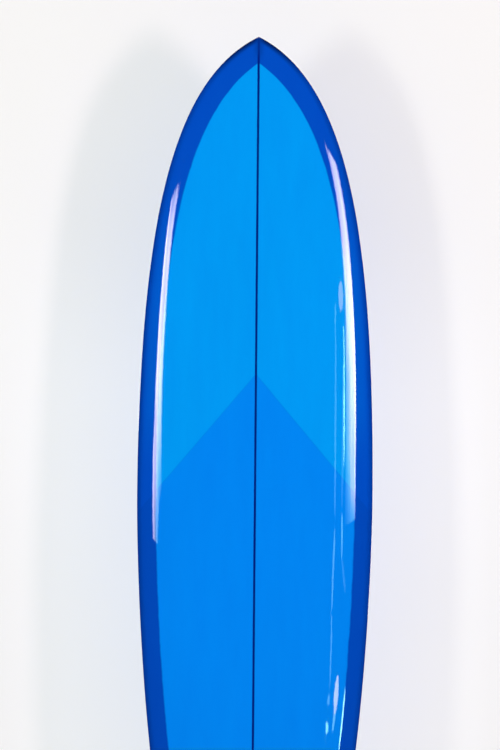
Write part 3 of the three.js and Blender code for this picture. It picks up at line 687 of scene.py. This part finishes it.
def laminate(name, deck):
    """Tinted laminate; deck adds the V-fronted patch. Distances come from the mesh in millimetres."""
    g = Look(name)
    lap, edge = g.attribute("lap_mm"), g.attribute("edge_mm")
    across, from_nose = g.attribute("across_mm"), g.attribute("from_nose_mm")
    wander = g.noise(g.place(), 26.0, 4.0, 0.6)
    lap = g.math("MULTIPLY_ADD", g.math("SUBTRACT", wander, 0.5), LAP_WANDER, lap)
    field, wrapped = PATCH_BLUE, LAP_BLUE
    if deck:
        patch = g.attribute("patch_mm")
        patch = g.math("MULTIPLY_ADD", g.math("SUBTRACT", wander, 0.5), PATCH_WANDER, patch)
        field = g.mix(g.step(patch, -0.8, 0.8), DECK_BLUE, PATCH_BLUE)
        near = g.math("ABSOLUTE", patch)
        field = g.mix(g.step(near, 0.6, 2.2, 0.10, 0.0), field, LAP_BLUE)
        wrapped = g.mix(g.step(patch, -1.5, 1.5), LAP_BLUE, LAP_OVER_PATCH)
    # the laps are thin for a stretch behind the nose, and darken toward the outline with painted shade where
    # the rail turns away from the light
    thin = g.math("MULTIPLY", g.step(from_nose, *LAP_THIN_FROM), g.step(from_nose, *LAP_THIN_TO, 1.0, 0.0))
    thin = g.math("MULTIPLY", thin, g.step(edge, 4.0, 24.0))
    wrapped = g.mix(thin, wrapped, LAP_THIN)
    rail_shaded_band = g.mix(g.step(edge, -2.0, 16.0, 1.0, 0.0), wrapped, RAIL_BLUE)
    colour = g.mix(g.step(lap, -2.6, 2.2), rail_shaded_band, field)
    # resin gathers in a darker bead along the cut edge of the lap
    bead = g.step(g.math("ABSOLUTE", g.math("ADD", lap, 3.0)), 0.4, 2.4, 0.08, 0.0)
    colour = g.mix(bead, colour, RAIL_BLUE)
    # the stringer shows through, and the cloth overlaps along it at the very nose
    grain = g.noise(g.place((40, 40, 1.2)), 9.0, 4.0, 0.6)
    side = g.math("MULTIPLY_ADD", g.math("SUBTRACT", grain, 0.5), STRINGER_WANDER, across)
    side = g.math("ABSOLUTE", side)
    colour = g.mix(g.step(side, *STRINGER_EDGE, 1.0, 0.0), colour, STRINGER_BLUE)
    ragged_nose = g.math("ADD", from_nose, g.math("MULTIPLY", grain, 30.0))
    overlap = g.math("MULTIPLY", g.step(side, 2.0, 16.0, 0.6, 0.0), g.step(ragged_nose, 40.0, 75.0, 1.0, 0.0))
    # painted shade: the outline darkens over the last stretch of the nose tip, where it turns away from the
    # light
    rim = g.math("MULTIPLY", g.step(edge, 0.0, 16.0, 1.0, 0.0), g.step(from_nose, 8.0, 110.0, 1.0, 0.0))
    colour = g.mix(rim, colour, NOSE_EDGE_SHADE_BLUE)
    colour = g.mix(overlap, colour, RAIL_BLUE)
    colour = tint(g, colour, TINT_UNEVENNESS)
    return gloss(g, colour)


# (place along the board, how much narrower the right-hand lap is there): it is cut by hand
HAND_CUT = ((-1050, 0.0), (-800, 4.5), (-500, 4.5), (-150, 2.2), (950, 2.2), (1050, 0.0))
FAR_FROM_LAP = 40.0


def measure_hull(piece):
    """Writes each point's distances to the lap line, outline, patch edge and centre line, in mm."""
    mesh = piece.data
    places = np.empty(len(mesh.vertices) * 3)
    mesh.vertices.foreach_get("co", places)
    x, y, z = (places.reshape(-1, 3) / MM).T
    side = np.abs(x)
    apex = HALF - PATCH_APEX
    hand_cut = np.where(x > 0, np.interp(z, *zip(*HAND_CUT)), 0.0)
    values = {
        "lap_mm": np.where(y < apex_y(z), lap_half_width(z) + hand_cut - side, -FAR_FROM_LAP),
        "edge_mm": (half_width(z) - side) / slant(z),
        "patch_mm": (apex - z) * math.sin(PATCH_HALF_ANGLE) - side * math.cos(PATCH_HALF_ANGLE),
        "across_mm": x,
        "from_nose_mm": HALF - z,
    }
    if piece.name.startswith("bottom"):
        values["lap_mm"] = lap_half_width(z) - side + FAR_FROM_LAP
    for name, value in values.items():
        attribute = mesh.attributes.new(name, "FLOAT", "POINT")
        attribute.data.foreach_set("value", value.astype(np.float32))


# ---- other materials ------------------------------------------------------------------------
def fin_material():
    """Solid glass-cloth fin, foiled through its layers and polished."""
    g = Look("fin_laminate_look")
    clouds = g.noise(g.place(), 9.0, 4.0)
    cloth = weave(g, 0.0022, "Y")
    contour = g.wave(g.place((0, 1, 0.25)), 26.0, 3.5, 2.0, "Y")
    deep, clear = srgb(6, 60, 150), srgb(14, 104, 205)
    colour = g.mix(g.step(clouds, 0.3, 0.7), deep, clear)
    colour = g.mix(g.step(cloth, 0.1, 0.9, 0.0, 0.30), colour, srgb(60, 150, 226))
    colour = g.mix(g.step(contour, 0.8, 0.98, 0.0, 0.07), colour, srgb(120, 184, 235))
    return gloss(g, colour)


def plastic_material():
    """Moulded box plastic with a fine texture, sanded where it meets the hull."""
    g = Look("box_plastic_look")
    grain = g.noise(g.place(), 900.0, 3.0)
    rub = g.noise(g.place((1, 1, 0.15)), 160.0, 4.0, 0.6)
    colour = g.mix(g.step(rub, 0.45, 0.75), srgb(30, 33, 38), srgb(58, 62, 68))
    surface = g.bump(grain, 0.00012, 0.5)
    rough = g.step(rub, 0.3, 0.8, 0.42, 0.66)
    return g.principled(Base_Color=colour, Roughness=rough, Normal=surface, IOR=1.49)


def metal_material(name, light, dark, stain):
    """Brushed metal with tarnish gathering in patches."""
    g = Look(name)
    lines = g.noise(g.place((30, 1200, 30)), 5.0, 2.0)
    patches = g.noise(g.place(), 300.0, 4.0, 0.6)
    colour = g.mix(g.step(lines, 0.3, 0.7), light, dark)
    colour = g.mix(g.step(patches, 0.55, 0.8, 0.0, 0.5), colour, stain)
    surface = g.bump(lines, 0.00002, 0.4)
    rough = g.step(patches, 0.3, 0.8, 0.2, 0.42)
    return g.principled(Base_Color=colour, Metallic=1.0, Roughness=rough, Normal=surface)


def foam_material():
    """Closed-cell foam, shaped and sanded."""
    g = Look("foam_look")
    inputs = {"Vector": g.place(), "Scale": 900.0}
    cells = g.node("ShaderNodeTexVoronoi", inputs).outputs["Distance"]
    patches = g.noise(g.place(), 12.0, 4.0)
    colour = g.mix(g.step(patches, 0.3, 0.7), srgb(243, 239, 226), srgb(231, 224, 204))
    colour = g.mix(g.step(cells, 0.3, 0.0, 0.0, 0.35), colour, srgb(196, 186, 160))
    return g.principled(Base_Color=colour, Roughness=0.92, Normal=g.bump(cells, 0.0003, 0.6))


def wood_material():
    """Light softwood with its grain along the board."""
    g = Look("stringer_wood_look")
    grain = g.noise(g.place((60, 60, 1.5)), 6.0, 5.0, 0.6, 0.5)
    pores = g.noise(g.place((500, 500, 12)), 6.0, 2.0)
    colour = g.mix(g.step(grain, 0.35, 0.65), srgb(214, 178, 124), srgb(160, 116, 70))
    colour = g.mix(g.step(pores, 0.6, 0.75, 0.0, 0.4), colour, srgb(110, 76, 44))
    return g.principled(Base_Color=colour, Roughness=0.6, Normal=g.bump(grain, 0.0002, 0.4))


def cloth_material():
    """Resin-filled cloth patch under the outer layer."""
    g = Look("patch_cloth_look")
    cloth = weave(g, 0.0018)
    colour = g.mix(g.step(cloth, 0.0, 1.0, 0.0, 0.35), PATCH_BLUE, LAP_BLUE)
    return g.principled(Base_Color=colour, Roughness=0.35, Normal=g.bump(cloth, 0.0002, 0.5))


# ---- build the pieces -----------------------------------------------------------------------
deck = deck_shell()
bottom = bottom_shell()
combine(deck, side_cutters(-1) + side_cutters(1) + [leash_cutter()], "DIFFERENCE")
combine(bottom, side_cutters(-1) + side_cutters(1) + [centre_cutter()], "DIFFERENCE")
for skin, node, has_patch in ((deck, "deck_skin", True), (bottom, "bottom_skin", False)):
    measure_hull(skin)
    smooth(skin)
    skin.data.materials.clear()
    skin.data.materials.append(laminate(node + "_look", has_patch))
    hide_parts(node)
    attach(skin, "board")

fin_look = fin_material()
fins = (
    (centre_fin(), "centre_fin"),
    (side_fin("side_fin_blade_left", -1), "side_fin_left"),
    (side_fin("side_fin_blade_right", 1), "side_fin_right"),
)
for fin, node in fins:
    smooth(fin)
    fin.data.materials.clear()
    fin.data.materials.append(fin_look)
    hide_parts(node)
    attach(fin, node)

looks = {
    "box_plastic": plastic_material(),
    "foam": foam_material(),
    "stringer_wood": wood_material(),
    "patch_cloth": cloth_material(),
    "brass": metal_material("brass_look", srgb(214, 178, 98), srgb(176, 138, 66), srgb(110, 84, 44)),
    "steel": metal_material("steel_look", srgb(206, 209, 213), srgb(164, 168, 174), srgb(112, 114, 118)),
}
for part in frame["record"]["subparts"]:
    look = looks.get(part["material_slot"])
    if look is None:
        continue
    node = frame["nodes"][part["node"]]
    for slot in node.material_slots:
        slot.material = look

# ---- studio, in metres ----------------------------------------------------------------------
CAMERA_DISTANCE, CAMERA_HEIGHT, CAMERA_SIDE = 4.5, 0.3511, -0.01372
CAMERA_ROLL = math.radians(0.4824)
LENS = 92.64                        # millimetres
WALL_BEHIND = 0.376                 # at half length
WALL_LEAN = 0.065                   # how much nearer the wall comes per metre of height
FLOOR_Z = -HALF * MM - 0.004
LIGHT_PLANE = -3.2                  # the lights in front of the board hang in one upright plane
KEY_BEHIND, GLINT_BEFORE = 0.02, 0.01       # and so far behind it or in front of it
UPRIGHT = Matrix.Rotation(math.pi / 2, 3, "X")
KEY_WIDTH, KEY_HEIGHT = 0.4, 0.7
COOL = (0.4, 1.0, 1.0, 1.0)         # colours of the faint, middling and strong mirrored lights
LILAC = (0.97, 0.88, 1.0, 1.0)
WHITE = (0.98, 0.94, 1.0, 1.0)
FULL = 25                           # radiance that shows as pure white in the gloss coat
COOL_TO_LILAC, LILAC_TO_WHITE = (0.12, 0.4), (0.5, 0.9)     # shares of it over which the colour turns
EDGE_BLUR, TOP_BLUR = 0.035, 0.02   # shares of a curtain's width and height
EDGE_WAVER, TOP_WAVER = 0.05, 0.09
STREAKS = 0.45                      # how far a curtain's brightness wavers either way
FADE_FROM, FADE_TO = 2.2, 5.0       # the wall and the floor fade out between these distances
BOUNCE_SIDE, BOUNCE_TOP = (0.45, 0.7), (0.25, 0.8)      # the glow behind the board ends over these
SURROUNDINGS = 0.545                # strength of the even light from all round
MIRRORED_DARK, MIRRORED_PALE = 0.02, 0.8    # what the gloss mirrors: a dark room, a pale wall behind
TOWARD_WALL = (0.75, 0.93)          # how squarely a mirrored ray must face the wall to see it


def light_object(name, width, height, brightness, colour=(1, 1, 1)):
    """Rectangular light without a place yet; brightness is its radiance."""
    lamp = bpy.data.lights.new(name, "AREA")
    lamp.shape, lamp.size, lamp.size_y, lamp.color = "RECTANGLE", width, height, colour
    lamp.energy = brightness * math.pi * width * height
    made = bpy.data.objects.new(name, lamp)
    COLLECTION.objects.link(made)
    made.visible_camera = False
    return made


def softbox(name, place, width, height, brightness, target):
    """Plain soft light aimed at a target."""
    made = light_object(name, width, height, brightness)
    made.location = place
    made.rotation_euler = (Vector(target) - made.location).to_track_quat("-Z", "Y").to_euler()
    return made


def key(name, x, z, brightness, colour):
    """Light in the light plane that lights and casts shadows, but isn't mirrored in the gloss coat."""
    made = light_object(name, KEY_WIDTH, KEY_HEIGHT, brightness, colour)
    made.location = (x, LIGHT_PLANE - KEY_BEHIND, z)
    made.rotation_euler = UPRIGHT.to_euler()
    made.visible_glossy = False


def glint(name, start, end, thickness, brightness, colour=COOL):
    """Slim spindle of light in the light plane, seen only as a mirror image in the gloss coat."""
    run, rise = end[0] - start[0], end[1] - start[1]
    made = light_object(name, math.hypot(run, rise), thickness, brightness, colour[:3])
    made.data.shape = "ELLIPSE"
    made.location = ((start[0] + end[0]) / 2, LIGHT_PLANE + GLINT_BEFORE, (start[1] + end[1]) / 2)
    made.rotation_euler = (UPRIGHT @ Matrix.Rotation(math.atan2(rise, run), 3, "Z")).to_euler()
    made.visible_diffuse = False


def curtain(name, x_range, z_range, left, right, top, level, tilt):
    """Large soft light in the light plane, shaped by shares of its rectangle.

    left and right are (height, across) points of its side edges, top is its height at its left and
    right ends, and level is how bright it is at each height. The glow grows to the right at the foot,
    by tilt[1] from tilt[0] across. The edges and the brightness waver in upright streaks.
    """
    width, height = x_range[1] - x_range[0], z_range[1] - z_range[0]
    made = light_object(name, width, height, FULL)
    made.location = (sum(x_range) / 2, LIGHT_PLANE, sum(z_range) / 2)
    made.rotation_euler = UPRIGHT.to_euler()
    made.visible_diffuse = False
    lamp = made.data
    lamp.use_nodes = True
    g = Graph(lamp.node_tree)
    place = g.node("ShaderNodeNewGeometry").outputs["Parametric"]
    share = g.node("ShaderNodeSeparateXYZ", {0: place})
    across, up = share.outputs[0], share.outputs[1]
    streaks = g.noise(g.scaled(place, (7.0, 1.4, 1.0)), 1.0, 4.0, 0.6)
    ragged = g.noise(g.scaled(place, (9.0, 1.0, 1.0)), 1.0, 3.0, 0.6)
    ripple = g.noise(g.scaled(place, (3.0, 90.0, 1.0)), 1.0, 2.0)
    shift = g.math("MULTIPLY_ADD", ripple, EDGE_WAVER, -EDGE_WAVER / 2)
    from_left = g.math("SUBTRACT", g.math("ADD", across, shift), g.curve(up, left))
    from_right = g.math("SUBTRACT", g.curve(up, right), g.math("ADD", across, shift))
    below = g.math("SUBTRACT", g.math("MULTIPLY_ADD", across, top[1] - top[0], top[0]), up)
    below = g.math("MULTIPLY_ADD", g.math("SUBTRACT", ragged, 0.5), TOP_WAVER, below)
    sides = (g.step(distance, -EDGE_BLUR, EDGE_BLUR) for distance in (from_left, from_right))
    mask = g.math("MULTIPLY", *sides)
    mask = g.math("MULTIPLY", mask, g.step(below, 0.0, TOP_BLUR))
    glow = g.math("MULTIPLY", g.curve(up, level), g.step(streaks, 0.3, 0.7, 1 - STREAKS, 1 + STREAKS))
    lean = g.math("MULTIPLY", g.math("SUBTRACT", across, tilt[0]), g.math("SUBTRACT", 1.0, up))
    glow = g.math("MULTIPLY", glow, g.math("MAXIMUM", g.math("MULTIPLY_ADD", lean, tilt[1], 1.0), 0.0))
    colour = g.mix(g.step(glow, *COOL_TO_LILAC), COOL, LILAC)
    colour = g.mix(g.step(glow, *LILAC_TO_WHITE), colour, WHITE)
    strength = g.math("MULTIPLY", mask, glow)
    emission = g.node("ShaderNodeEmission", {"Color": colour, "Strength": strength}).outputs[0]
    g.node("ShaderNodeOutputLight", {0: emission})


key("key_left", x=-1.65, z=0.5, brightness=46, colour=(1.0, 0.99, 0.87))
key("key_right", x=1.93, z=0.5, brightness=64, colour=(1.0, 0.787, 0.80))
curtain("curtain_left", (-2.45, -1.35), (-0.41, 0.8),
        left=[(0.0, 0.13), (0.35, 0.17), (0.45, 0.26), (0.55, 0.33), (0.7, 0.42), (0.78, 0.46), (1.0, 0.38)],
        right=[(0.0, 0.48), (0.19, 0.61), (0.26, 0.72), (0.52, 0.72), (0.75, 0.83), (1.0, 0.93)],
        top=(0.965, 0.88),
        level=[(0.0, 0.25), (0.15, 0.36), (0.28, 0.46), (0.34, 0.56), (0.45, 0.72), (0.55, 0.9), (0.78, 0.95),
               (0.83, 0.85), (0.88, 0.55), (1.0, 0.3)],
        tilt=(0.35, -2.6))
curtain("curtain_right", (1.25, 2.35), (-0.28, 0.9),
        left=[(0.0, 0.27), (0.3, 0.24), (0.6, 0.24), (0.76, 0.19), (0.86, 0.11), (0.95, 0.03), (1.0, 0.0)],
        right=[(0.0, 0.81), (0.45, 0.78), (0.66, 0.71), (1.0, 0.7)],
        top=(0.875, 0.985),
        level=[(0.0, 0.12), (0.08, 0.24), (0.14, 0.36), (0.24, 0.48), (0.36, 0.64), (0.49, 0.86), (0.56, 1.0),
               (0.66, 0.95), (0.72, 0.82), (0.8, 0.76), (0.88, 0.66), (1.0, 0.55)],
        tilt=(0.58, 3.0))

glint("frame_top", (1.23, 0.415), (1.42, 0.43), 0.05, 4.2, LILAC)
glint("frame_spark", (1.11, 0.395), (1.13, 0.375), 0.05, 3.0)
glint("frame_upper", (1.11, 0.38), (1.15, -0.22), 0.05, 2.2)
glint("frame_middle", (1.15, -0.27), (1.18, -0.62), 0.05, 3.6)
glint("frame_lower", (1.18, -0.62), (1.27, -0.90), 0.04, 3.0)
glint("post_top", (1.40, 0.38), (1.43, 0.0), 0.05, 16.0)
glint("post_upper", (1.37, 0.29), (1.39, -0.18), 0.08, 1.2)
glint("post_lower", (1.39, -0.20), (1.46, -0.44), 0.06, 4.5)
glint("post_foot", (1.46, -0.44), (1.72, -0.59), 0.04, 1.2)
glint("low_window", (1.47, -0.945), (1.67, -0.975), 0.14, 9.0, LILAC)
glint("low_sill", (1.50, -1.05), (1.60, -1.06), 0.10, 5.0)
glint("low_spark_high", (1.21, -0.94), (1.31, -0.95), 0.045, 4.0)
glint("low_spark", (1.21, -1.04), (1.31, -1.06), 0.05, 12.0)
glint("low_far", (2.06, -1.13), (2.18, -1.16), 0.26, 20.0)

top = softbox("top_soft", (0.0, -0.6, 3.2), width=1.6, height=1.2, brightness=3.0, target=(0, 0, 0.2))
top.visible_diffuse = False
softbox("back_left", (-1.9, 2.6, 1.0), width=0.7, height=1.8, brightness=9, target=(0, 0, -0.1))
softbox("back_right", (1.7, 2.9, 0.2), width=0.5, height=1.8, brightness=7, target=(0, 0, -0.2))


def world_light():
    """Pale surroundings that light softly and show pale, but hardly mirror in the gloss."""
    world = bpy.data.worlds.new("studio")
    bpy.context.scene.world = world
    world.use_nodes = True
    g = Graph(world.node_tree)
    path = g.node("ShaderNodeLightPath")
    soft = g.node("ShaderNodeBackground", {0: (1.0, 1.0, 1.0, 1), 1: SURROUNDINGS}).outputs[0]
    forward = g.node("ShaderNodeSeparateXYZ", {0: g.node("ShaderNodeTexCoord").outputs["Generated"]})
    toward_wall = g.step(forward.outputs[1], *TOWARD_WALL, MIRRORED_DARK, MIRRORED_PALE)
    mirror = g.node("ShaderNodeBackground", {0: (0.85, 0.92, 1.0, 1), 1: toward_wall}).outputs[0]
    seen = g.node("ShaderNodeBackground", {0: srgb(246, 247, 249), 1: 1.0}).outputs[0]
    lit = g.node("ShaderNodeMixShader", {0: path.outputs["Is Glossy Ray"], 1: soft, 2: mirror}).outputs[0]
    shown = g.node("ShaderNodeMixShader", {0: path.outputs["Is Camera Ray"], 1: lit, 2: seen}).outputs[0]
    g.node("ShaderNodeOutputWorld", {0: shown})


def stage_material(name, matt_colour, glow_colour, bounce=0.0, hides_edge_on=False):
    """Pale matt surface that only the camera sees, and only from its front; it fades out far away.

    bounce is the extra glow behind the board, where light goes to and fro between board and wall.
    With hides_edge_on it also fades out where it is seen nearly edge-on.
    """
    g = Look(name)
    mottle = g.step(g.noise(g.place(), 2.2, 3.0), 0.3, 0.7, 0.985, 1.0)
    shade = g.node("ShaderNodeCombineColor", {0: mottle, 1: mottle, 2: mottle}).outputs[0]
    matt = g.mix(1.0, shade, matt_colour + (1.0,), "MULTIPLY")
    matt = g.node("ShaderNodeBsdfDiffuse", {"Color": matt}).outputs[0]
    spot = g.node("ShaderNodeSeparateXYZ", {0: g.place()})
    wide = g.step(g.math("ABSOLUTE", spot.outputs[0]), *BOUNCE_SIDE, bounce, 0.0)
    glow = g.math("MULTIPLY_ADD", wide, g.step(spot.outputs[2], *BOUNCE_TOP, 1.0, 0.0), 1.0)
    light = g.node("ShaderNodeEmission", {"Color": glow_colour + (1.0,), "Strength": glow}).outputs[0]
    lit = g.node("ShaderNodeAddShader", {0: matt, 1: light}).outputs[0]
    clear = g.node("ShaderNodeBsdfTransparent").outputs[0]
    path = g.node("ShaderNodeLightPath").outputs["Is Camera Ray"]
    behind = g.node("ShaderNodeNewGeometry").outputs["Backfacing"]
    shown = g.math("MULTIPLY", path, g.math("SUBTRACT", 1.0, behind))
    away = g.node("ShaderNodeVectorMath", {0: g.place()}, operation="LENGTH").outputs["Value"]
    shown = g.math("MULTIPLY", shown, g.step(away, FADE_FROM, FADE_TO, 1.0, 0.0))
    if hides_edge_on:
        slope = g.node("ShaderNodeLayerWeight", {"Blend": 0.5}).outputs["Facing"]
        shown = g.math("MULTIPLY", shown, g.step(slope, 0.5, 0.7, 1.0, 0.0))
    made = g.node("ShaderNodeMixShader", {0: shown, 1: clear, 2: lit}).outputs[0]
    g.tree.links.new(made, g.output.inputs["Surface"])
    return g.material


def stage_sheet(name, corners, look, facing):
    """Flat stage piece whose single face looks toward a direction."""
    made = new_object(name, np.array(corners) / MM, [(0, 1, 2, 3)])
    made.data.materials.append(look)
    if made.data.polygons[0].normal.dot(Vector(facing)) < 0:
        made.data.flip_normals()


stage_sheet(
    "backdrop",
    [(x, WALL_BEHIND - WALL_LEAN * z, z) for x, z in ((-5, -3), (5, -3), (5, 4), (-5, 4))],
    stage_material("backdrop_look", (0.58,) * 3, (0.378, 0.388, 0.386), bounce=0.17, hides_edge_on=True),
    facing=(0, -1, 0),
)
stage_sheet(
    "floor",
    [(x, y, FLOOR_Z) for x, y in ((-6, -6), (6, -6), (6, 6), (-6, 6))],
    stage_material("floor_look", (0.2,) * 3, (0.66, 0.665, 0.675)),
    facing=(0, 0, 1),
)
world_light()
bpy.context.scene.view_settings.view_transform = "Standard"
bpy.context.scene.view_settings.look = "None"

camera_data = bpy.data.cameras.new("camera")
camera = bpy.data.objects.new("camera", camera_data)
COLLECTION.objects.link(camera)
camera_data.lens = LENS
camera.location = (CAMERA_SIDE, -CAMERA_DISTANCE, CAMERA_HEIGHT)
camera.rotation_euler = (UPRIGHT @ Matrix.Rotation(CAMERA_ROLL, 3, "Z")).to_euler()
bpy.context.scene.camera = camera
